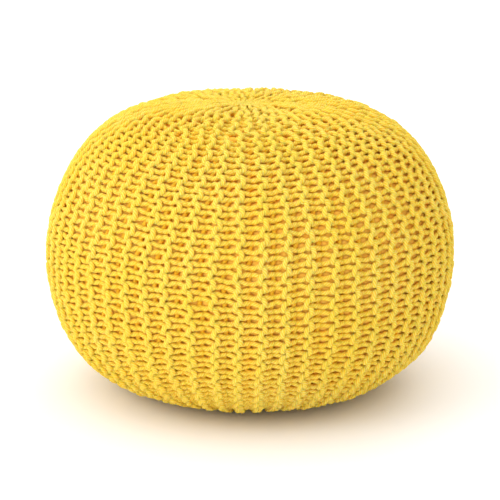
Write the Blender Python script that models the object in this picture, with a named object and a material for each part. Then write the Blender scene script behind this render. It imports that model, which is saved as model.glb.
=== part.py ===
"""Knitted pouf ottoman, 500 mm across and 350 mm high.

It is a round filled casing inside a thick hand-knitted cotton cover. The cover is knitted sideways in
garter stitch, so its ridges run from the crown down to the base like the segments of an orange. Both
ends are drawn together. At the crown the drawing-in leaves a small eye. The base is pressed flat by
the weight of the filling.

Metres, +Z up. The origin is the middle of the flat base, and -Y is the front.
"""

import math

import bmesh
import bpy
import numpy as np

# The stuffed pouf, measured over its ridges.
RADIUS = 0.250
HEIGHT = 0.350
BELLY_HEIGHT = 0.178

# The side view is one superellipse above the belly and another below it. The first exponent works
# across and the second one works up, so a large first one makes a broad, flat crown or base.
CROWN_ACROSS = 4.15
CROWN_UP = 1.63
BASE_ACROSS = 4.26
BASE_UP = 2.23

# A free base would hang this far below the floor. The floor presses that much of it flat.
BASE_PRESSED = 0.0016

# The crown is drawn in to a small eye, in a shallow dimple.
EYE_RADIUS = 0.005
DIMPLE_DEPTH = 0.003
DIMPLE_RADIUS = 0.022

# The pouf is made by hand: it leans a little, and its crown is gathered left of the middle.
LEAN_PER_METRE = 0.009
CROWN_SHIFT = -0.009

# Garter ridges run all the way round the side. They are open and deep where they lie far apart, and
# they close up and fade out on the way to the crown and the base.
RIDGES = 56
RIDGE_DEPTH = 0.0065
RIDGE_OPEN_PITCH = 0.020
RIDGE_SHUT_PITCH = 0.008
FLAT_BASE_RADIUS = 0.100
FLAT_BASE_BLEND = 0.035

# The knit is this thick over its ridges, and the casing lies this far inside it.
COVER_THICKNESS = 0.0135
CLEARANCE = 0.0004

# Mesh density: columns go round the axis, rows go from crown to base.
COLUMNS_PER_RIDGE = 3
COVER_ROWS = 25
CASING_ROWS = 17
FINE_STEPS = 1500
WELD = 0.00001


def smooth_step(value, low, high):
    """0 below low, 1 above high, and a smooth rise between them."""
    t = min(max((value - low) / (high - low), 0.0), 1.0)
    return t * t * (3.0 - 2.0 * t)


def superellipse_quarter(across, up, radius, height):
    """Points (r, z) from the pole at (0, height) to the rim at (radius, 0)."""
    turn = np.linspace(math.pi / 2, 0.0, FINE_STEPS)
    r = radius * np.abs(np.cos(turn)) ** (2.0 / across)
    z = height * np.abs(np.sin(turn)) ** (2.0 / up)
    r[0] = 0.0
    z[-1] = 0.0
    return np.column_stack((r, z))


def side_view(depth, rows):
    """The half outline at this depth under the ridges, as rows of (r, z) evenly spaced from the crown
    to the base, with the outward direction at each."""
    crown = superellipse_quarter(CROWN_ACROSS, CROWN_UP, RADIUS, HEIGHT - BELLY_HEIGHT)
    base = superellipse_quarter(BASE_ACROSS, BASE_UP, RADIUS, BELLY_HEIGHT + BASE_PRESSED)
    base[:, 1] *= -1.0
    line = np.vstack((crown, base[::-1][1:]))
    line[:, 1] = np.maximum(line[:, 1] + BELLY_HEIGHT, 0.0)
    on_crown = line[:, 1] > BELLY_HEIGHT
    line[on_crown, 1] -= DIMPLE_DEPTH * np.exp(-((line[on_crown, 0] / DIMPLE_RADIUS) ** 2))

    step = np.hypot(*np.diff(line, axis=0).T)
    along = np.concatenate(([0.0], np.cumsum(step)))
    stations = np.linspace(0.0, along[-1], rows)
    points = np.column_stack([np.interp(stations, along, line[:, axis]) for axis in (0, 1)])

    tangent = np.gradient(points, axis=0)
    outward = np.column_stack((-tangent[:, 1], tangent[:, 0]))
    outward /= np.hypot(outward[:, 0], outward[:, 1])[:, None]
    outward[0] = (0.0, 1.0)
    outward[-1] = (0.0, -1.0)
    return points - depth * outward, outward


def settle(x, r, z):
    """The new x of a point at radius r and height z once the pouf has settled into its lean."""
    lean = LEAN_PER_METRE * (z - BELLY_HEIGHT)
    above = smooth_step(z, BELLY_HEIGHT, HEIGHT)
    gathered = CROWN_SHIFT * above * (1.0 - min(r / RADIUS, 1.0)) ** 2
    return x + lean + gathered


def ridge_relief(angle, r, z):
    """How far the knit lies below the tops of its ridges at this angle, radius and height."""
    pitch = 2.0 * math.pi * r / RIDGES
    opened = smooth_step(pitch, RIDGE_SHUT_PITCH, RIDGE_OPEN_PITCH)
    ridge = (0.5 + 0.5 * math.cos(RIDGES * angle)) ** 2
    relief = opened * RIDGE_DEPTH * (1.0 - ridge)
    if z < BELLY_HEIGHT:
        relief *= smooth_step(r, FLAT_BASE_RADIUS, FLAT_BASE_RADIUS + FLAT_BASE_BLEND)
    return relief


def spun(name, outline, columns, outward=None):
    """A closed turned form from an outline that starts and ends on the axis. With the outward
    directions given, the garter ridges are raised in its points."""
    form = bmesh.new()
    row_of = form.verts.layers.int.new("row")
    previous = None
    for row, (r, z) in enumerate(outline):
        point = form.verts.new((r, 0.0, z))
        point[row_of] = row
        if previous is not None:
            form.edges.new((previous, point))
        previous = point
    bmesh.ops.spin(
        form,
        geom=form.verts[:] + form.edges[:],
        axis=(0.0, 0.0, 1.0),
        cent=(0.0, 0.0, 0.0),
        steps=columns,
        angle=2.0 * math.pi,
        use_merge=True,
    )
    bmesh.ops.remove_doubles(form, verts=form.verts[:], dist=WELD)
    bmesh.ops.recalc_face_normals(form, faces=form.faces[:])

    for point in form.verts:
        r = math.hypot(point.co.x, point.co.y)
        angle = math.atan2(point.co.y, point.co.x)
        z = point.co.z
        if outward is not None and r > WELD:
            relief = ridge_relief(angle, r, z)
            out_r, out_z = outward[point[row_of]]
            r -= relief * out_r
            z -= relief * out_z
        point.co.x = settle(r * math.cos(angle), r, z)
        point.co.y = r * math.sin(angle)
        point.co.z = z

    mesh = bpy.data.meshes.new(name)
    form.to_mesh(mesh)
    form.free()
    return bpy.data.objects.new(name, mesh)


def fabric(name, colour, roughness):
    """A matt cloth finish."""
    material = bpy.data.materials.new(name)
    material.use_nodes = True
    shader = material.node_tree.nodes["Principled BSDF"]
    shader.inputs["Base Color"].default_value = colour
    shader.inputs["Roughness"].default_value = roughness
    shader.inputs["Metallic"].default_value = 0.0
    material.diffuse_color = colour
    return material


def collection(name):
    """A new collection in the scene."""
    made = bpy.data.collections.new(name)
    bpy.context.scene.collection.children.link(made)
    return made


def make_inner_casing(parts):
    """The filled cotton bag. It shows as smooth orange cloth through the gaps of the knit."""
    outline, _ = side_view(COVER_THICKNESS, CASING_ROWS)
    outline[0, 0] = 0.0
    outline[-1, 0] = 0.0
    casing = spun("inner_casing", outline, RIDGES)
    casing.data.materials.append(fabric("casing cotton", (0.85, 0.42, 0.06, 1.0), 0.9))
    casing.data.shade_smooth()
    parts.objects.link(casing)
    return casing


def make_cavity(cutters):
    """What is cut out of the cover: the space of the casing, and the eye at the crown."""
    wall, _ = side_view(COVER_THICKNESS - CLEARANCE, CASING_ROWS)
    past_eye = wall[wall[:, 0] > EYE_RADIUS]
    roof = float(np.interp(EYE_RADIUS, wall[:3, 0], wall[:3, 1]))
    above_crown = HEIGHT + EYE_RADIUS
    neck = [(0.0, above_crown), (EYE_RADIUS, above_crown), (EYE_RADIUS, roof)]
    outline = np.vstack((neck, past_eye[:-1], [(0.0, past_eye[-1, 1])]))
    cavity = spun("cavity", outline, RIDGES)
    cavity.hide_render = True
    cavity.display_type = "WIRE"
    cutters.objects.link(cavity)
    return cavity


def make_knit_cover(parts, cavity):
    """The knitted jacket: a thick ridged shell that is open only at the eye."""
    outline, outward = side_view(0.0, COVER_ROWS)
    cover = spun("knit_cover", outline, RIDGES * COLUMNS_PER_RIDGE, outward)
    cover.data.materials.append(fabric("cotton yarn", (0.93, 0.69, 0.07, 1.0), 0.85))
    parts.objects.link(cover)
    hollow = cover.modifiers.new("hollow", "BOOLEAN")
    hollow.operation = "DIFFERENCE"
    hollow.solver = "EXACT"
    hollow.object = cavity
    return cover


def clear_scene():
    """Removes whatever the file started with."""
    for left_over in list(bpy.data.objects):
        bpy.data.objects.remove(left_over)


def main():
    clear_scene()
    parts = collection("knitted pouf")
    cutters = collection("cutters")
    make_inner_casing(parts)
    make_knit_cover(parts, make_cavity(cutters))


main()
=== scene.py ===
# %% [markdown]
# # A hand-knitted pouf, yarn by yarn
# A pouf ottoman is a round, filled cotton bag inside a thick knitted jacket. This lesson keeps the
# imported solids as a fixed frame, and puts a real knit over them: every stitch is a bend of yarn, and
# the bag shows through the gaps between the stitches. A ball with a knitted pattern only in its
# finish would be quicker, but its outline would be smooth and its gaps would be shut.

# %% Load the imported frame
import math

import bmesh
import bpy
import numpy as np
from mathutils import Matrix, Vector, kdtree


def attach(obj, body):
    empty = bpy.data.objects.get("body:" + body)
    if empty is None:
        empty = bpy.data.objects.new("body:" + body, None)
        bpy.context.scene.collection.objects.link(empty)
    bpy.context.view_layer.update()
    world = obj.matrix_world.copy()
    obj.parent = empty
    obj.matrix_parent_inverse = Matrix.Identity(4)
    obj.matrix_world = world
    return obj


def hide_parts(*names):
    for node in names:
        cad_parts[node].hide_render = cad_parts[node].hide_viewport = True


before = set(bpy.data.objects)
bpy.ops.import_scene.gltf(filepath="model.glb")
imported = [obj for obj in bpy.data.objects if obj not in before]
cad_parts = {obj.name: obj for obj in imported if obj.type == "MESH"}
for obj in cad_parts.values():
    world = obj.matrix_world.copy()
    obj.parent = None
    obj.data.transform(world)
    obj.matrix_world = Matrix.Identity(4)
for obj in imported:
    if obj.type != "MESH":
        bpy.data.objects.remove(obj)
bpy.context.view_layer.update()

MM = 0.001
print("solids:", sorted(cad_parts))

# %% [markdown]
# ## Camera
# A product photographer stands back and uses a long lens, so that a round thing keeps its shape. The
# camera stands 2.4 m from the middle of the pouf and 15 degrees above it, which shows a narrow slice
# of the crown. A lens is set by its angle of view, and the picture is square.

# %% Camera
BELLY_HEIGHT = 0.178
CAMERA_DISTANCE = 2.4
CAMERA_ELEVATION = math.radians(15.15)
LENS_MM = 140.87
SENSOR_MM = 36.0
CAMERA_AIM = Vector((-0.0004, 0.0, 0.1657))

camera_data = bpy.data.cameras.new("product camera")
camera_data.lens = LENS_MM
camera_data.sensor_width = SENSOR_MM
camera = bpy.data.objects.new("product camera", camera_data)
camera.location = (
    0.0,
    -CAMERA_DISTANCE * math.cos(CAMERA_ELEVATION),
    BELLY_HEIGHT + CAMERA_DISTANCE * math.sin(CAMERA_ELEVATION),
)
camera.rotation_euler = (CAMERA_AIM - camera.location).to_track_quat("-Z", "Y").to_euler()
bpy.context.scene.collection.objects.link(camera)
bpy.context.scene.camera = camera
bpy.context.scene.view_settings.view_transform = "Standard"
print("camera at", [round(c, 3) for c in camera.location])

# %% [markdown]
# ## The side view of the stuffed jacket
# Filling makes a knitted tube round, and the floor flattens it. A superellipse says that with few
# numbers: one above the widest height and another below it. A drawn curve would do as well, but its
# points would have to be moved one by one. The points here are spaced evenly along the line, so that
# stitches can be counted along it later.

# %% Side view
RADIUS = 0.250
HEIGHT = 0.3525
CROWN_ACROSS = 3.92
CROWN_UP = 1.63
BASE_ACROSS = 4.26
BASE_UP = 2.23
BASE_PRESSED = 0.0016
DIMPLE_DEPTH = 0.0015
DIMPLE_RADIUS = 0.022
FINE_STEPS = 3000
SIDE_STATIONS = 1431


def smooth_step(value, low, high):
    """0 below low, 1 above high, and a smooth rise between them."""
    t = np.clip((value - low) / (high - low), 0.0, 1.0)
    return t * t * (3.0 - 2.0 * t)


def superellipse_quarter(across, up, height):
    """Points (r, z) from the pole at (0, height) to the rim at (RADIUS, 0)."""
    turn = np.linspace(math.pi / 2, 0.0, FINE_STEPS)
    r = RADIUS * np.abs(np.cos(turn)) ** (2.0 / across)
    z = height * np.abs(np.sin(turn)) ** (2.0 / up)
    r[0] = 0.0
    z[-1] = 0.0
    return np.column_stack((r, z))


crown = superellipse_quarter(CROWN_ACROSS, CROWN_UP, HEIGHT - BELLY_HEIGHT)
base = superellipse_quarter(BASE_ACROSS, BASE_UP, BELLY_HEIGHT + BASE_PRESSED)
base[:, 1] *= -1.0
side_line = np.vstack((crown, base[::-1][1:]))
side_line[:, 1] = np.maximum(side_line[:, 1] + BELLY_HEIGHT, 0.0)
above_belly = side_line[:, 1] > BELLY_HEIGHT
side_line[above_belly, 1] -= DIMPLE_DEPTH * np.exp(-((side_line[above_belly, 0] / DIMPLE_RADIUS) ** 2))
fine_along = np.concatenate(([0.0], np.cumsum(np.hypot(*np.diff(side_line, axis=0).T))))
SIDE_LENGTH = float(fine_along[-1])
side_along = np.linspace(0.0, SIDE_LENGTH, SIDE_STATIONS)
side_r = np.interp(side_along, fine_along, side_line[:, 0])
side_z = np.interp(side_along, fine_along, side_line[:, 1])
side_out = np.column_stack((-np.gradient(side_z), np.gradient(side_r)))
side_out /= np.hypot(side_out[:, 0], side_out[:, 1])[:, None]
print("crown to base along the side:", round(SIDE_LENGTH / MM), "mm")

# %% [markdown]
# ## Nothing handmade is even
# A knitter's tension varies, and a soft jacket shifts on its filling. A few slow waves of different
# lengths push the stitches sideways, along and in or out. Each wave has a whole number of turns round
# the pouf, so it joins up with itself. Stitches that hold each other move together.

# %% Slow waves and stitch noise
chance = np.random.default_rng(7)
WAVES = 26


def slow_waves(size, shortest_mm, longest_mm):
    """Settings of a sum of waves over angle and length: turns, rate along, start and size."""
    length = chance.uniform(shortest_mm, longest_mm, WAVES) * MM
    bearing = chance.uniform(0.0, math.pi, WAVES)
    turns = np.round(2.0 * math.pi * RADIUS / length * np.cos(bearing))
    rate = 2.0 * math.pi / length * np.sin(bearing)
    start = chance.uniform(0.0, 2.0 * math.pi, WAVES)
    return turns, rate, start, size * MM * math.sqrt(2.0 / WAVES)


def wave_at(waves, angle, along):
    """The height of the waves at each angle and length along the side."""
    turns, rate, start, size = waves
    total = np.zeros(np.broadcast(angle, along).shape)
    for turn, pace, begin in zip(turns, rate, start):
        total += np.cos(turn * angle + pace * along + begin)
    return total * size


# Size, shortest wave and longest wave in millimetres.
sideways_waves = slow_waves(1.3, 70.0, 260.0)
along_waves = slow_waves(1.1, 60.0, 260.0)
lift_waves = slow_waves(0.6, 60.0, 200.0)
front_drift = float(wave_at(sideways_waves, -math.pi / 2.0, SIDE_LENGTH / 2.0))
print("sideways drift halfway down the front:", round(front_drift / MM, 1), "mm")

# %% [markdown]
# ## From flat knit to pouf
# Every yarn and the bag are worked out on a flat map first: an angle round the pouf, a length along
# its side from the crown, and a depth under the tops of the ridges. One function rolls that map into
# shape. The real pouf leans a little, its crown is gathered left of the middle, and near both ends
# the gathering holds the stitches still.

# %% Rolling the flat map
LEAN_PER_METRE = 0.009
CROWN_SHIFT = -0.009
EYE_DIVE = 0.002
EYE_DIVE_RADII = (0.002, 0.010)

# The waves fade out over this length at both ends, and between them the knit sinks in a little.
CALM_END = 0.06
SETTLED = 0.0006


def on_side(along):
    """Radius, height and outward direction of the side view at each length along it."""
    return (
        np.interp(along, side_along, side_r),
        np.interp(along, side_along, side_z),
        np.interp(along, side_along, side_out[:, 0]),
        np.interp(along, side_along, side_out[:, 1]),
    )


def rolled(angle, along, depth):
    """Points in space for places on the flat map, in metres."""
    angle = angle + wave_at(sideways_waves, angle, along) / RADIUS
    free = smooth_step(along, 0.0, CALM_END) * smooth_step(SIDE_LENGTH - along, 0.0, CALM_END)
    depth = depth + (wave_at(lift_waves, angle, along) + SETTLED) * free
    along = np.clip(along + wave_at(along_waves, angle, along) * free, 0.0, SIDE_LENGTH)
    r, z, out_r, out_z = on_side(along)
    at_crown = z > BELLY_HEIGHT
    depth = depth + EYE_DIVE * (1.0 - smooth_step(r, *EYE_DIVE_RADII)) * at_crown
    r = r - depth * out_r
    z = z - depth * out_z
    above = smooth_step(z, BELLY_HEIGHT, HEIGHT)
    lean = LEAN_PER_METRE * (z - BELLY_HEIGHT)
    gathered = CROWN_SHIFT * above * (1.0 - np.clip(r / RADIUS, 0.0, 1.0)) ** 2
    return np.stack((r * np.cos(angle) + lean + gathered, r * np.sin(angle), z), axis=-1)


print("middle of the crown:", [round(float(c), 4) for c in rolled(0.0, 0.0, 0.0)])

# %% [markdown]
# ## Garter stitch
# The jacket is knitted sideways in garter stitch, in rows that run from the crown to the base. Each
# row hangs in the one before it, and where two rows hold each other they make a ridge: on the front
# after one row and on the back after the next. There are 56 ridges round the belly. Some come from
# short rows, which turn back early, so that the jacket can close: 42 ridges are left on the crown, and
# 21 reach the eye. Where a ridge ends, the others of its repeat spread into its place. One stitch
# copied all over would be easier to make, but copies can't narrow and end as real rows do.

# %% Where the ridges run
RIDGES = 56
REPEAT = 8
REPEATS = RIDGES // REPEAT
SHORT_END = 0.138
MIDDLE_END = 0.048
LONG_END = 0.0045
END_SPREAD = 0.006
END_BLEND = 0.010

# Widths are tabled over this many radii, a little past the rim. A thinner ridge than SHUT_ANGLE is gone.
RADIUS_STEPS = 551
PAST_THE_RIM = 1.1
SHUT_ANGLE = 0.01

ends_in_repeat = [
    SHORT_END, LONG_END, MIDDLE_END, LONG_END, SHORT_END, MIDDLE_END, LONG_END, MIDDLE_END,
]
end_radius = np.tile(ends_in_repeat, REPEATS)
is_long = end_radius == LONG_END
end_radius = end_radius + END_SPREAD * chance.uniform(-1.0, 1.0, RIDGES) * ~is_long

radii = np.linspace(0.0, RADIUS * PAST_THE_RIM, RADIUS_STEPS)
given = smooth_step(radii[:, None], end_radius - END_BLEND, end_radius + END_BLEND)
given[:, is_long] = 1.0
given = given.reshape(len(radii), REPEATS, REPEAT)
ridge_widths = given / given.sum(axis=2, keepdims=True) * 2.0 * math.pi / REPEATS
ridge_widths = ridge_widths.reshape(-1, RIDGES)
ridge_centres = np.cumsum(ridge_widths, axis=1) - ridge_widths / 2.0
for r in (0.030, 0.100, 0.240):
    present = ridge_widths[np.searchsorted(radii, r)] > SHUT_ANGLE
    print("ridges at radius", round(r / MM), "mm:", int(present.sum()))

# %% [markdown]
# ## The path of one yarn
# A row of stitches is one yarn that winds from loop to loop. Its foot lies over one line and its head
# over the next, and it is pinched where it passes through its neighbour. Its legs run down into the
# valley and up again. In a wide row a stitch opens on one side of the valley and closes on the other,
# so there the gaps between the legs lie in turn left and right. Half a stitch is given as nine points,
# the other half is its mirror image, and a smooth curve goes through them all. In a narrow row the
# legs are nearly straight.

# %% Half a stitch
YARN_RADIUS = 0.0030

# The table of half a stitch is drawn for this height, and stretched to the height that is needed.
STITCH_HEIGHT = 0.0170

# Columns: length along the side from the crown, and the height of a stitch there. The gathering pulls
# the stitches of the crown long.
STITCH_HEIGHTS = np.array([
    (0.000, 0.0220),
    (0.050, 0.0240),
    (0.090, 0.0270),
    (0.125, 0.0230),
    (0.160, 0.0195),
    (0.190, 0.0177),
    (0.300, 0.0177),
    (0.350, 0.0166),
])

# Towards the eye the yarn is squeezed thinner, between these two radii.
END_THICKNESS = 0.58
END_THICKNESS_RADII = (0.005, 0.080)

# Columns: share of the row's width, share of the reach past its line, share of the height, thickness,
# and place along the row in millimetres: in wide rows that start at a ridge, in wide rows that end at
# one, and in narrow rows.
HALF_STITCH = np.array([
    (0.00, -1.00, 1.00, 1.06, 0.0, 0.0, 0.0),
    (0.00, -0.85, 0.95, 1.06, 3.1, 3.0, 2.6),
    (0.00, -0.25, 0.58, 1.00, 4.8, 4.9, 4.2),
    (0.27, 0.00, 0.04, 1.04, 3.3, 5.5, 4.5),
    (0.50, 0.00, 0.00, 1.06, 4.0, 4.6, 4.4),
    (0.74, 0.00, -0.06, 1.04, 5.4, 3.1, 4.2),
    (1.00, 0.20, -0.58, 1.00, 5.0, 3.5, 4.4),
    (1.00, 0.82, -0.95, 1.06, 5.8, 5.2, 5.9),
    (1.00, 1.00, -1.00, 1.06, 8.5, 8.5, 8.5),
])

# A row counts as narrow or as wide by its width in metres.
WIDE_FROM = 0.006
WIDE_TO = 0.013

# Columns in millimetres: half ridge pitch, reach past the line, and height above the middle.
ROW_SIZES = np.array([
    (0.0, 0.6, 1.6),
    (2.5, 1.4, 2.6),
    (5.0, 2.1, 3.5),
    (8.0, 2.5, 3.7),
    (14.0, 2.7, 4.0),
]) * MM

# %% A whole stitch
# Rows of the table, with fractions, at which the curve gets its points.
SAMPLES_IN_HALF = (0.0, 0.7, 1.35, 2.1, 3.2, 4.6, 6.0, 7.1)
BEND_LEAN = 1.6

half_points = len(HALF_STITCH) - 1
mirrored = HALF_STITCH[1:-1][::-1] * (1.0, 1.0, 1.0, 1.0, -1.0, -1.0, -1.0)
mirrored[:, 4:] += STITCH_HEIGHT / MM
whole = np.vstack((HALF_STITCH, mirrored))
whole[:, 4:] -= np.arange(len(whole))[:, None] * STITCH_HEIGHT / MM / len(whole)


def smooth_through(table, at):
    """Values of the smooth closed curve through a table's rows, at row numbers with fractions."""
    row = np.floor(at).astype(int)
    t = (at - row)[:, None]
    before, start, end, after = (table[(row + step) % len(table)] for step in (-1, 0, 1, 2))
    cubic = 3.0 * (start - end) + after - before
    square = 2.0 * before - 5.0 * start + 4.0 * end - after
    return start + 0.5 * t * (end - before + t * (square + t * cubic))


# Twist in the yarn makes each bend lean: the lower end of a foot or a head lies further out.
from_foot = whole[:, 4] + np.arange(len(whole)) * STITCH_HEIGHT / MM / len(whole)
from_foot = from_foot / (STITCH_HEIGHT / MM)
from_head = from_foot - 0.5
from_foot = (from_foot + 0.5) % 1.0 - 0.5
across_row = whole[:, 0]
whole[:, 1] += BEND_LEAN * (from_head * across_row ** 2 - from_foot * (1.0 - across_row) ** 2)

first_half = np.array(SAMPLES_IN_HALF)
sample_rows = np.concatenate((first_half, 2.0 * half_points - first_half[:0:-1]))
sample_rows = np.sort(np.concatenate((sample_rows, [half_points])))
stitch_samples = smooth_through(whole, sample_rows)
sample_shares = sample_rows / len(whole)
print("points in a stitch:", len(sample_rows))

# %% Count the stitches along the side
stitch_heights = np.interp(side_along, STITCH_HEIGHTS[:, 0], STITCH_HEIGHTS[:, 1])
stitch_count = np.concatenate(([0.0], np.cumsum(np.diff(side_along) / stitch_heights[1:])))
stitch_count += 1.0 - np.interp(LONG_END, side_along, stitch_count)
print("stitches from crown to base:", round(float(stitch_count[-1]), 1))


# %% One row of stitches
# Unevenness from stitch to stitch, in millimetres.
REACH_NOISE = 0.45
SIDEWAYS_NOISE = 0.45
DEPTH_NOISE = 0.3
ALONG_NOISE = 0.65


def noise_along(stitch, size):
    """Smooth noise with one new value each half stitch."""
    knots = np.arange(math.floor(stitch.min() * 2.0) - 1, math.ceil(stitch.max() * 2.0) + 2)
    return np.interp(stitch * 2.0, knots, chance.normal(0.0, size * MM, len(knots)))


def stitch_row(ridge, side, first, last):
    """Angle, length, depth and thickness of a row's points, from stitch first to stitch last."""
    stitches = last - first
    across, reach_share, height, size, wide_from_ridge, wide_to_ridge, narrow = np.vstack(
        (np.tile(stitch_samples, (stitches, 1)), stitch_samples[:1])
    ).T
    wide = wide_from_ridge if side > 0 else wide_to_ridge
    numbers = [first + number + sample_shares for number in range(stitches)]
    stitch = np.concatenate(numbers + [[last]])
    along = np.interp(stitch, stitch_count, side_along)
    longer = np.interp(along, side_along, stitch_heights) / STITCH_HEIGHT
    r, _, _, _ = on_side(along)
    width = np.interp(r, radii, ridge_widths[:, ridge]) / 2.0
    middle = np.interp(r, radii, ridge_centres[:, ridge])
    half = width * np.maximum(r - YARN_RADIUS, 0.0)
    reach = np.interp(half, ROW_SIZES[:, 0], ROW_SIZES[:, 1]) + noise_along(stitch, REACH_NOISE)
    deep = np.interp(half, ROW_SIZES[:, 0], ROW_SIZES[:, 2])
    opened = smooth_step(half, WIDE_FROM, WIDE_TO)
    shift = (narrow + (wide - narrow) * opened) * MM * longer

    angle = middle + width * (across if side > 0 else across - 1.0)
    angle = angle + (reach_share * reach + noise_along(stitch, SIDEWAYS_NOISE)) / np.maximum(r, LONG_END)
    depth = deep * (1.0 - side * height) + YARN_RADIUS + noise_along(stitch, DEPTH_NOISE)
    size = size * (END_THICKNESS + (1.0 - END_THICKNESS) * smooth_step(r, *END_THICKNESS_RADII))
    return angle, along + shift + noise_along(stitch, ALONG_NOISE), depth, size


# %% The two rows of a ridge
# At each end the yarn turns back in a small bow.
TURN_POINTS = 5
TURN_BULGE = STITCH_HEIGHT / 4
COUNT_TOLERANCE = 0.01


def ridge_yarn(ridge):
    """The closed path of the two rows that make one ridge."""
    by_radius = end_radius[ridge]
    crown_end = np.interp(by_radius, side_r[: SIDE_STATIONS // 3], side_along[: SIDE_STATIONS // 3])
    base_r = side_r[: SIDE_STATIONS // 2 : -1]
    base_end = np.interp(by_radius, base_r, side_along[: SIDE_STATIONS // 2 : -1])
    first = math.ceil(np.interp(crown_end, side_along, stitch_count) - COUNT_TOLERANCE)
    last = math.floor(np.interp(base_end, side_along, stitch_count))
    right = stitch_row(ridge, 1, first, last)
    left = stitch_row(ridge, -1, first, last)

    share = np.linspace(0.0, 1.0, TURN_POINTS + 2)[1:-1]
    bulge = np.sin(math.pi * share) * TURN_BULGE
    ends = []
    for end, sign in ((0, -1.0), (-1, 1.0)):
        turn = [
            (1.0 - share) * right_part[end] + share * left_part[end]
            for right_part, left_part in zip(right, left)
        ]
        turn[1] = turn[1] + sign * bulge
        ends.append(turn)
    crown_turn, base_turn = ends
    return [
        np.concatenate((right_part[::-1], over, left_part, under[::-1]))
        for right_part, over, left_part, under in zip(right, crown_turn, left, base_turn)
    ]


# %% [markdown]
# ## Yarn as a curve
# A curve with a round bevel is a tube that follows its points, which is just what yarn is. A screw or
# a skin modifier could make a tube too, but a curve also takes a thickness at each point. It is then
# turned into a mesh. Blender gives the tube a UV map whose u runs along it, and here u is stretched to
# real lengths, so that the ply twist has the same pitch everywhere.

# %% A tube of yarn
def tube_mesh(name, paths, thickness):
    """A mesh of round yarn along closed paths, each with its thickness at every point."""
    curve = bpy.data.curves.new(name, "CURVE")
    curve.dimensions = "3D"
    curve.bevel_depth = YARN_RADIUS
    curve.bevel_resolution = 1
    for points, size in zip(paths, thickness):
        spline = curve.splines.new("POLY")
        spline.points.add(len(points) - 1)
        spline.points.foreach_set("co", np.column_stack((points, np.ones(len(points)))).ravel())
        spline.points.foreach_set("radius", size)
        spline.use_cyclic_u = True
    carrier = bpy.data.objects.new(name, curve)
    bpy.context.scene.collection.objects.link(carrier)
    bpy.context.view_layer.update()
    mesh = bpy.data.meshes.new_from_object(carrier.evaluated_get(bpy.context.evaluated_depsgraph_get()))
    mesh.name = name
    bpy.data.objects.remove(carrier)
    bpy.data.curves.remove(curve)
    mesh.shade_smooth()
    return mesh


# %% Real lengths in the map
def lengths_in_map(mesh, paths):
    """Stretches u of each yarn in the UV map to its length in metres."""
    uv = np.empty(len(mesh.loops) * 2)
    mesh.uv_layers[0].uv.foreach_get("vector", uv)
    uv = uv.reshape(-1, 2)
    start = 0
    corners_per_point = len(mesh.loops) // sum(len(points) for points in paths)
    for points in paths:
        closed = np.vstack((points, points[:1]))
        length = np.concatenate(([0.0], np.cumsum(np.linalg.norm(np.diff(closed, axis=0), axis=1))))
        stop = start + len(points) * corners_per_point
        share = np.linspace(0.0, 1.0, len(length))
        uv[start:stop, 0] = np.interp(uv[start:stop, 0], share, length)
        start = stop
    mesh.uv_layers[0].uv.foreach_set("vector", uv.ravel())
    return start == len(uv)


# %% How deep the yarn lies
# The yarn's finish reads this depth to paint shade on yarn that lies deep in the knit.
def depth_on_yarn(mesh, places, points):
    """Stores how deep each point of the yarn's surface lies under the tops of the ridges."""
    angle, along, depth = places
    outward = points - rolled(angle, along, depth + MM)
    outward /= np.linalg.norm(outward, axis=1)[:, None]
    surface = np.empty(len(mesh.vertices) * 3)
    mesh.vertices.foreach_get("co", surface)
    surface = surface.reshape(len(points), -1, 3)
    rise = ((surface - points[:, None]) * outward[:, None]).sum(axis=2)
    lies = mesh.attributes.new("lies_deep", "FLOAT", "POINT")
    lies.data.foreach_set("value", (depth[:, None] - rise).ravel())


# %% [markdown]
# ## The jacket
# One mesh of all the yarn would be heavy, so the 56 ridges are shared out over eight balls of seven,
# as a knitter joins in a new ball. Hand-plied yarn is a little lumpy, and the floor stops it.

# %% Knit the jacket
BALLS = 8
RIDGES_PER_BALL = RIDGES // BALLS
POINTS_PER_LUMP = 9
LUMP_SIZE = 0.025
FLOOR_GAP = 0.0001

jacket = []
knit_points = []
knit_sizes = []
yarn_length = 0.0
for ball in range(BALLS):
    paths = []
    thickness = []
    map_places = []
    for ridge in range(ball * RIDGES_PER_BALL, (ball + 1) * RIDGES_PER_BALL):
        *places, size = ridge_yarn(ridge)
        points = rolled(*places)
        map_places.append(places)
        lumps = np.arange(0, len(points) + POINTS_PER_LUMP, POINTS_PER_LUMP)
        size = size + np.interp(np.arange(len(points)), lumps, chance.normal(0.0, LUMP_SIZE, len(lumps)))
        points[:, 2] = np.maximum(points[:, 2], YARN_RADIUS * size + FLOOR_GAP)
        paths.append(points)
        thickness.append(size)
        knit_points.append(points)
        knit_sizes.append(size * YARN_RADIUS)
        yarn_length += float(np.linalg.norm(np.diff(points, axis=0), axis=1).sum())
    name = f"knit_ball_{ball + 1}"
    mesh = tube_mesh(name, paths, thickness)
    mapped = lengths_in_map(mesh, paths)
    depth_on_yarn(mesh, [np.concatenate(column) for column in zip(*map_places)], np.vstack(paths))
    piece = bpy.data.objects.new(name, mesh)
    bpy.context.scene.collection.objects.link(piece)
    jacket.append(piece)
    print(name, "triangles", sum(len(face.vertices) - 2 for face in mesh.polygons), "mapped", mapped)
print("yarn in the jacket:", round(yarn_length), "m")

# %% [markdown]
# ## The bag inside
# The bag is sewn from smooth cotton and filled with beads. It swells a little into the gaps of the
# knit, and it shows orange there. A cloth simulation could press it against the knit, but it would be
# slow and less certain. Here a full spin of the side view makes it, and then each point is pressed in
# where a yarn lies on it. Its rows are closer together on the side, where it can be seen.

# %% Spin the bag
BAG_COLUMNS_PER_RIDGE = 8
BAG_COLUMNS = RIDGES * BAG_COLUMNS_PER_RIDGE
OPEN_FROM = 0.090
OPEN_TO = 0.540
FINE_STEP = 0.0027
COARSE_STEP = 0.009
WELD = 1e-5

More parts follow.
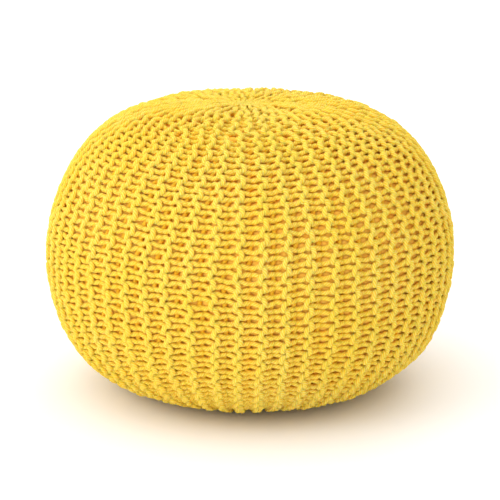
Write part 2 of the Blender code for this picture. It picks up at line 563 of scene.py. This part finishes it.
stations = np.concatenate((
    np.arange(0.0, OPEN_FROM, COARSE_STEP),
    np.arange(OPEN_FROM, OPEN_TO, FINE_STEP),
    np.linspace(OPEN_TO, SIDE_LENGTH, round((SIDE_LENGTH - OPEN_TO) / COARSE_STEP)),
))
BAG_ROWS = len(stations)
form = bmesh.new()
row_of = form.verts.layers.int.new("row")
for row, along in enumerate(stations):
    r, z, _, _ = on_side(along)
    point = form.verts.new((r if 0 < row < BAG_ROWS - 1 else 0.0, 0.0, z))
    point[row_of] = row
form.verts.ensure_lookup_table()
for row in range(BAG_ROWS - 1):
    form.edges.new((form.verts[row], form.verts[row + 1]))
bmesh.ops.spin(
    form, geom=form.verts[:] + form.edges[:], axis=(0.0, 0.0, 1.0), cent=(0.0, 0.0, 0.0),
    steps=BAG_COLUMNS, angle=2.0 * math.pi, use_merge=True,
)
bmesh.ops.remove_doubles(form, verts=form.verts[:], dist=WELD)
bmesh.ops.recalc_face_normals(form, faces=form.faces[:])
bag_mesh = bpy.data.meshes.new("cotton_bag")
rows = np.array([point[row_of] for point in form.verts])
form.to_mesh(bag_mesh)
form.free()

places = np.empty(len(bag_mesh.vertices) * 3)
bag_mesh.vertices.foreach_get("co", places)
places = places.reshape(-1, 3)
bag_angle = np.arctan2(places[:, 1], places[:, 0])
bag_along = stations[rows]
print("rows of the bag:", BAG_ROWS, "columns:", BAG_COLUMNS)

# %% Find the yarn near the bag
yarn_points = np.vstack(knit_points)
yarn_sizes = np.concatenate(knit_sizes)
yarn_finder = kdtree.KDTree(len(yarn_points))
for index, point in enumerate(yarn_points):
    yarn_finder.insert(point, index)
yarn_finder.balance()
print("points of yarn:", len(yarn_points))

# %% Press the knit into the bag
# Depth of the free bag under the ridges, the most that a yarn presses it, the gap left under a yarn,
# how far yarns are looked for, and the step that finds the way inwards.
BAG_DEPTH = 0.0078
BAG_PRESSED = 0.0060
BAG_MARGIN = 0.0002
BAG_REACH = 0.0085
PROBE = 0.005
SHORTEST = 1e-9

puffed = rolled(bag_angle, bag_along, np.full(len(bag_angle), BAG_DEPTH))
inner = rolled(bag_angle, bag_along, np.full(len(bag_angle), BAG_DEPTH + PROBE))
inward = inner - puffed
inward /= np.maximum(np.linalg.norm(inward, axis=1), SHORTEST)[:, None]
pressed = np.zeros(len(puffed))
for index, point in enumerate(puffed):
    near = [found[1] for found in yarn_finder.find_range(point, BAG_REACH)]
    if not near:
        continue
    offset = yarn_points[near] - point
    depth = offset @ inward[index]
    across_squared = (offset ** 2).sum(axis=1) - depth ** 2
    yarn_squared = (yarn_sizes[near] + BAG_MARGIN) ** 2
    under = depth + np.sqrt(np.maximum(yarn_squared - across_squared, 0.0))
    touching = yarn_squared > across_squared
    if touching.any():
        pressed[index] = min(max(0.0, under[touching].max()), BAG_PRESSED)
print("bag points under a yarn:", int((pressed > 0.0).sum()))

# %% Smooth the bag between the yarns
BAG_SMOOTHING = 3
BAG_LOWEST = 0.008

edge_ends = np.empty(len(bag_mesh.edges) * 2, dtype=int)
bag_mesh.edges.foreach_get("vertices", edge_ends)
edge_ends = edge_ends.reshape(-1, 2)
edge_count = np.bincount(edge_ends.ravel(), minlength=len(pressed))
smooth = pressed.copy()
for _ in range(BAG_SMOOTHING):
    total = np.bincount(edge_ends[:, 0], smooth[edge_ends[:, 1]], minlength=len(smooth))
    total += np.bincount(edge_ends[:, 1], smooth[edge_ends[:, 0]], minlength=len(smooth))
    smooth = np.maximum(pressed, (smooth + total / edge_count) / 2.0)
bag_points = puffed + inward * smooth[:, None]
bag_points[:, 2] = np.maximum(bag_points[:, 2], BAG_LOWEST)
bag_mesh.vertices.foreach_set("co", bag_points.ravel())
bag_mesh.shade_smooth()
bag = bpy.data.objects.new("cotton_bag", bag_mesh)
bpy.context.scene.collection.objects.link(bag)
print("bag points:", len(bag_mesh.vertices), "pressed in by", round(float(smooth.mean()) / MM, 1), "mm")

# %% [markdown]
# ## The gathering yarn
# A yarn runs through the end stitches and draws them in to a small eye, at the crown and again under
# the base. Only a trace of it shows, so a plain ring of the same yarn stands for it, and its knot is
# left out.

# %% Gathering rings
RING_DEPTH = 0.0060
RING_POINTS = 20
RING_THICKNESS = 0.9
RING_BELOW_CROWN = 0.0060
RING_ABOVE_BASE = 0.0080

rings = []
for name, along in (("gather_crown", RING_BELOW_CROWN), ("gather_base", SIDE_LENGTH - RING_ABOVE_BASE)):
    angle = np.arange(RING_POINTS) * 2.0 * math.pi / RING_POINTS
    points = rolled(angle, np.full(RING_POINTS, along), np.full(RING_POINTS, RING_DEPTH))
    mesh = tube_mesh(name, [points], [np.full(RING_POINTS, RING_THICKNESS)])
    lengths_in_map(mesh, [points])
    ring = bpy.data.objects.new(name, mesh)
    bpy.context.scene.collection.objects.link(ring)
    rings.append(ring)
    print(name, "at height", round(float(points[:, 2].mean()) / MM), "mm")

# %% [markdown]
# ## Finishes
# Both finishes are procedural: patterns worked out from a place on the piece, so they have no seam and
# need no picture. Real colours are picked as sRGB hex values, and a shader needs them linear. One
# function turns them, and another adds a node with its settings and its links.

# %% Colour and node helpers
def linear(hex_colour):
    """A shader colour from an sRGB hex value."""
    channels = (int(hex_colour[i : i + 2], 16) / 255.0 for i in (1, 3, 5))
    return (*(c / 12.92 if c <= 0.04045 else ((c + 0.055) / 1.055) ** 2.4 for c in channels), 1.0)


def add_node(tree, kind, settings=None, links=None):
    """A node with its settings, and with its sockets set to values or linked to outputs."""
    node = tree.nodes.new(kind)
    for name, value in (settings or {}).items():
        setattr(node, name, value)
    for name, value in (links or {}).items():
        if isinstance(value, bpy.types.NodeSocket):
            tree.links.new(value, node.inputs[name])
        else:
            node.inputs[name].default_value = value
    return node


def new_material(name):
    """A material with its node tree and its Principled shader."""
    material = bpy.data.materials.new(name)
    material.use_nodes = True
    return material, material.node_tree, material.node_tree.nodes["Principled BSDF"]


# Both dyes drift between two shades, over this part of a noise's range.
SHADE_RANGE = (0.35, 0.65)
print("full yellow in linear light:", [round(c, 3) for c in linear("#FCDB5A")])

# %% [markdown]
# ### Plied cotton yarn
# Mercerised cotton has a soft shine, but this is plain carded cotton: matt, with a faint bloom of
# loose fibre, and light passes a little way into it. Five plies are twisted together, so slanted lines
# run round the yarn, and the grooves between them are painted a deeper orange: painted shade. Light
# that goes from dyed yarn to dyed yarn grows more orange, so yarn that lies deep in the knit is painted
# a warmer orange: painted shade and bounced light. Real fibres are 0.02 mm thick and would vanish at
# this size, so they are drawn about 1 mm apart.

# %% Plies wound round the yarn
PLIES = 5
TWIST_LENGTH = 0.016
GROOVE_TO_PLY = (-1.0, 0.6)

yarn_material, tree, shader = new_material("dyed plied cotton yarn")
along_yarn = add_node(tree, "ShaderNodeUVMap", {"uv_map": "UVMap"})
parts_of_map = add_node(tree, "ShaderNodeSeparateXYZ", links={0: along_yarn.outputs[0]})
turns = add_node(
    tree, "ShaderNodeMath", {"operation": "DIVIDE"}, {0: parts_of_map.outputs["X"], 1: TWIST_LENGTH}
)
wound = add_node(
    tree, "ShaderNodeMath", {"operation": "ADD"}, {0: turns.outputs[0], 1: parts_of_map.outputs["Y"]}
)
ply_phase = add_node(
    tree, "ShaderNodeMath", {"operation": "MULTIPLY"}, {0: wound.outputs[0], 1: PLIES * 2.0 * math.pi}
)
ply_wave = add_node(tree, "ShaderNodeMath", {"operation": "COSINE"}, {0: ply_phase.outputs[0]})
ply_height = add_node(
    tree, "ShaderNodeMapRange", {"interpolation_type": "SMOOTHSTEP"},
    {
        "Value": ply_wave.outputs[0],
        "From Min": GROOVE_TO_PLY[0], "From Max": GROOVE_TO_PLY[1], "To Min": 0.0, "To Max": 1.0,
    },
)
print("a ply shows every", round(TWIST_LENGTH / PLIES / MM, 1), "mm along the yarn")

# %% Dye of the yarn, with painted shade in the ply grooves and deep in the knit
FIBRES_PER_METRE = 900.0
DYE_PATCHES_PER_METRE = 14.0
# Painted shade: between these depths under the ridges, the yarn's colour is painted towards a warmer
# orange.
DEEP_FROM = 0.003
DEEP_TO = 0.011

place = add_node(tree, "ShaderNodeTexCoord")
fibres = add_node(
    tree, "ShaderNodeTexNoise",
    links={"Vector": place.outputs["Object"], "Scale": FIBRES_PER_METRE, "Detail": 3.0},
)
patches = add_node(
    tree, "ShaderNodeTexNoise",
    links={"Vector": place.outputs["Object"], "Scale": DYE_PATCHES_PER_METRE, "Detail": 2.0},
)
dye = add_node(tree, "ShaderNodeValToRGB", links={"Fac": patches.outputs["Fac"]})
dye.color_ramp.elements[0].position = SHADE_RANGE[0]
dye.color_ramp.elements[0].color = linear("#FCDB5A")
dye.color_ramp.elements[1].position = SHADE_RANGE[1]
dye.color_ramp.elements[1].color = linear("#FCE06C")
# Painted shade: the grooves between the plies are coloured a deeper orange than the dye.
groove_shade_painted = add_node(
    tree, "ShaderNodeMix", {"data_type": "RGBA", "blend_type": "MIX"},
    {"Factor": ply_height.outputs[0], 6: linear("#FACA36"), 7: dye.outputs[0]},
)
lies = add_node(tree, "ShaderNodeAttribute", {"attribute_name": "lies_deep"})
deep = add_node(
    tree, "ShaderNodeMapRange", {"interpolation_type": "SMOOTHSTEP"},
    {
        "Value": lies.outputs["Fac"],
        "From Min": DEEP_FROM, "From Max": DEEP_TO, "To Min": 0.0, "To Max": 1.0,
    },
)
# Painted shade and bounced light: yarn deep in the knit is mixed towards orange #FFB81C.
deep_shade_painted = add_node(
    tree, "ShaderNodeMix", {"data_type": "RGBA", "blend_type": "MIX"},
    {"Factor": deep.outputs[0], 6: groove_shade_painted.outputs[2], 7: linear("#FFB81C")},
)
tree.links.new(deep_shade_painted.outputs[2], shader.inputs["Base Color"])
print("painted shade grows warmer from", DEEP_FROM / MM, "to", DEEP_TO / MM, "mm under the ridges")

# %% Surface of the yarn
PLY_RELIEF = 0.0006
FIBRE_SHARE = 0.35

relief = add_node(
    tree, "ShaderNodeMath", {"operation": "MULTIPLY_ADD"},
    {0: fibres.outputs["Fac"], 1: FIBRE_SHARE, 2: ply_height.outputs[0]},
)
bump = add_node(
    tree, "ShaderNodeBump", links={"Height": relief.outputs[0], "Strength": 1.0, "Distance": PLY_RELIEF}
)
tree.links.new(bump.outputs[0], shader.inputs["Normal"])
shader.inputs["Roughness"].default_value = 0.85
shader.inputs["Subsurface Weight"].default_value = 0.4
shader.inputs["Subsurface Radius"].default_value = (1.0, 0.5, 0.1)
shader.inputs["Subsurface Scale"].default_value = 0.004
shader.inputs["Specular IOR Level"].default_value = 0.05
shader.inputs["Sheen Weight"].default_value = 0.08
shader.inputs["Sheen Roughness"].default_value = 0.5
shader.inputs["Sheen Tint"].default_value = linear("#FFF4C8")
print("nodes in the yarn's finish:", len(tree.nodes))

# %% [markdown]
# ### Bag cloth
# The bag is plain-woven cotton in a deeper, more orange shade, quite matt. Its real threads are 0.4 mm
# apart and would vanish at this size, so its grain is drawn 1.2 mm apart.

# %% Bag material
THREAD_SPACING = 0.0012
THREAD_RELIEF = 0.0003
BAG_PATCHES_PER_METRE = 30.0

bag_material, tree, shader = new_material("plain woven cotton")
place = add_node(tree, "ShaderNodeTexCoord")
weave = add_node(
    tree, "ShaderNodeTexNoise",
    links={"Vector": place.outputs["Object"], "Scale": 1.0 / THREAD_SPACING, "Detail": 2.0},
)
shade = add_node(
    tree, "ShaderNodeTexNoise",
    links={"Vector": place.outputs["Object"], "Scale": BAG_PATCHES_PER_METRE, "Detail": 2.0},
)
tint = add_node(tree, "ShaderNodeValToRGB", links={"Fac": shade.outputs["Fac"]})
tint.color_ramp.elements[0].position = SHADE_RANGE[0]
tint.color_ramp.elements[0].color = linear("#FFC84A")
tint.color_ramp.elements[1].position = SHADE_RANGE[1]
tint.color_ramp.elements[1].color = linear("#FFD45C")
tree.links.new(tint.outputs[0], shader.inputs["Base Color"])
bump = add_node(
    tree, "ShaderNodeBump",
    links={"Height": weave.outputs["Fac"], "Strength": 0.4, "Distance": THREAD_RELIEF},
)
tree.links.new(bump.outputs[0], shader.inputs["Normal"])
shader.inputs["Roughness"].default_value = 0.9
shader.inputs["Specular IOR Level"].default_value = 0.05
print("nodes in the bag's finish:", len(tree.nodes))

# %% [markdown]
# ## On the frame
# Every piece rides on the one body of the pouf. The yarns and rings stand in for the solid cover, and
# the bag for the solid casing.

# %% Put the finishes on and place the pieces on the frame
for piece in jacket + rings:
    piece.data.materials.append(yarn_material)
    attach(piece, "root")
    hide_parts("knit_cover")
bag.data.materials.append(bag_material)
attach(bag, "root")
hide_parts("inner_casing")
print("pieces on the frame:", len(jacket) + len(rings) + 1)

# %% [markdown]
# ## Studio
# A pale floor, a white world and three large soft lamps make the even light of a catalogue picture.
# The world is brighter overhead and on the left. One lamp stands high on the left, one in front and
# one behind.

# %% Floor
FLOOR_REACH = 8.0

form = bmesh.new()
bmesh.ops.create_grid(form, x_segments=2, y_segments=2, size=FLOOR_REACH)
floor_mesh = bpy.data.meshes.new("studio_floor")
form.to_mesh(floor_mesh)
form.free()
floor = bpy.data.objects.new("studio_floor", floor_mesh)
bpy.context.scene.collection.objects.link(floor)
floor_material, tree, shader = new_material("matt white board")
shader.inputs["Base Color"].default_value = linear("#FCFCFC")
shader.inputs["Roughness"].default_value = 0.9
floor.data.materials.append(floor_material)
print("floor reaches", FLOOR_REACH, "m each way")

# %% White world
LEVEL_LIGHT = 0.70
OVERHEAD_LIGHT = 1.46
LIGHT_TO_THE_RIGHT = -0.31

world = bpy.data.worlds.new("white studio")
world.use_nodes = True
sky = world.node_tree
direction = add_node(sky, "ShaderNodeTexCoord")
upward = add_node(sky, "ShaderNodeSeparateXYZ", links={0: direction.outputs["Generated"]})
overhead = add_node(
    sky, "ShaderNodeMapRange",
    links={
        "Value": upward.outputs["Z"],
        "From Min": 0.0, "From Max": 1.0, "To Min": LEVEL_LIGHT, "To Max": OVERHEAD_LIGHT,
    },
)
sky_light = add_node(
    sky, "ShaderNodeMath", {"operation": "MULTIPLY_ADD"},
    {0: upward.outputs["X"], 1: LIGHT_TO_THE_RIGHT, 2: overhead.outputs["Result"]},
)
sky.nodes["Background"].inputs["Color"].default_value = (1.0, 1.0, 1.0, 1.0)
sky.links.new(sky_light.outputs[0], sky.nodes["Background"].inputs["Strength"])
bpy.context.scene.world = world
print("world light from", LEVEL_LIGHT, "to", OVERHEAD_LIGHT)


# %% Soft lamps
def soft_lamp(name, place, size, power):
    """A square area lamp that faces the middle of the pouf."""
    data = bpy.data.lights.new(name, "AREA")
    data.shape = "SQUARE"
    data.size = size
    data.energy = power
    lamp = bpy.data.objects.new(name, data)
    lamp.location = place
    to_pouf = Vector((0.0, 0.0, BELLY_HEIGHT)) - lamp.location
    lamp.rotation_euler = to_pouf.to_track_quat("-Z", "Y").to_euler()
    bpy.context.scene.collection.objects.link(lamp)
    print(name, "of", power, "W is", round(to_pouf.length, 2), "m away")


soft_lamp("key lamp", (-1.7, -1.3, 1.5), 1.2, 10.0)
soft_lamp("front lamp", (-0.6, -2.5, 0.9), 1.6, 8.0)
soft_lamp("back lamp", (0.8, 2.4, 1.4), 1.6, 12.0)
